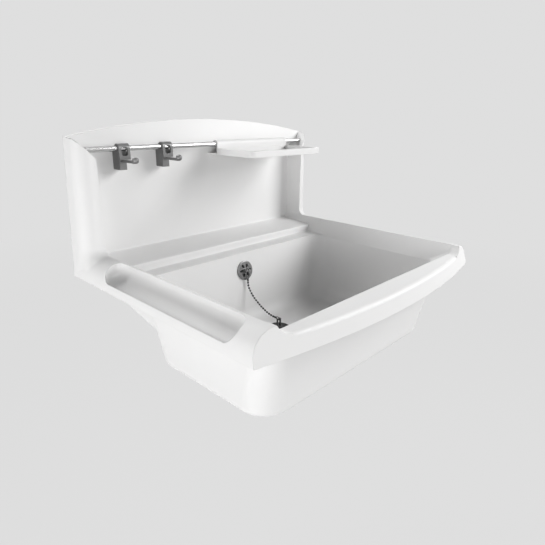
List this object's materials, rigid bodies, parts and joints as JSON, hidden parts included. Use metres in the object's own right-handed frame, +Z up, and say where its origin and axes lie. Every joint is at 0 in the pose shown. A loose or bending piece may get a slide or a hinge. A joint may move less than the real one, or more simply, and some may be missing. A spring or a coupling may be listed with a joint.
{
  "type": "utility sink",
  "caption": "Wall-hung moulded utility sink with an arched splashback, side soap troughs, a tool rail with sliding hooks and tray, an overflow and a plug on a ball chain.",
  "frame": {"origin": "on the wall face, midway between the two wall holes", "axes": "+Z up, +Y into the wall, +X to the right when facing the sink"},
  "size_m": [0.62, 0.5199, 0.508],
  "materials": {
    "white_plastic": "satin moulded plastic",
    "rail_metal": "polished",
    "hook_metal": "dark satin metal",
    "rosette_metal": "satin metal",
    "chain_metal": "polished ball chain",
    "waste_metal": "brushed",
    "black_rubber": "matt",
    "black_plastic": "satin",
    "pipe_plastic": "satin"
  },
  "bodies": {
    "sink": {"basin_moulding": "white_plastic", "accessory_rail": "rail_metal", "overflow_rosette": "rosette_metal", "overflow_screw": "rosette_metal", "overflow_seal": "black_rubber", "overflow_elbow": "pipe_plastic", "overflow_nut_upper": "pipe_plastic", "overflow_nut_lower": "pipe_plastic", "overflow_pipe_seal_upper": "black_rubber", "overflow_pipe_seal_lower": "black_rubber", "overflow_pipe": "pipe_plastic", "waste_strainer": "waste_metal", "waste_flange_seal": "black_rubber", "waste_under_seal": "black_rubber", "waste_body": "pipe_plastic", "waste_clamp_screw": "waste_metal", "chain_link_upper": "chain_metal", "plug_chain": "chain_metal"},
    "hook_left": {"hook_left": "hook_metal"},
    "hook_right": {"hook_right": "hook_metal"},
    "tray": {"soap_tray": "white_plastic"},
    "plug": {"waste_plug": "black_rubber", "plug_stirrup": "black_plastic", "chain_link_lower": "chain_metal"}
  },
  "joints": [
    {"name": "hook_left_slide", "type": "slide", "parent": "sink", "child": "hook_left", "axis": [1, 0, 0], "range_m": [-0.048, 0.038]},
    {"name": "hook_right_slide", "type": "slide", "parent": "sink", "child": "hook_right", "axis": [1, 0, 0], "range_m": [-0.03, 0.07]},
    {"name": "tray_slide", "type": "slide", "parent": "sink", "child": "tray", "axis": [1, 0, 0], "range_m": [-0.04, 0.042]},
    {"name": "plug_lift", "type": "slide", "parent": "sink", "child": "plug", "axis": [0, 0, 1], "range_m": [0, 0.05], "deforming": ["plug_chain"]}
  ]
}
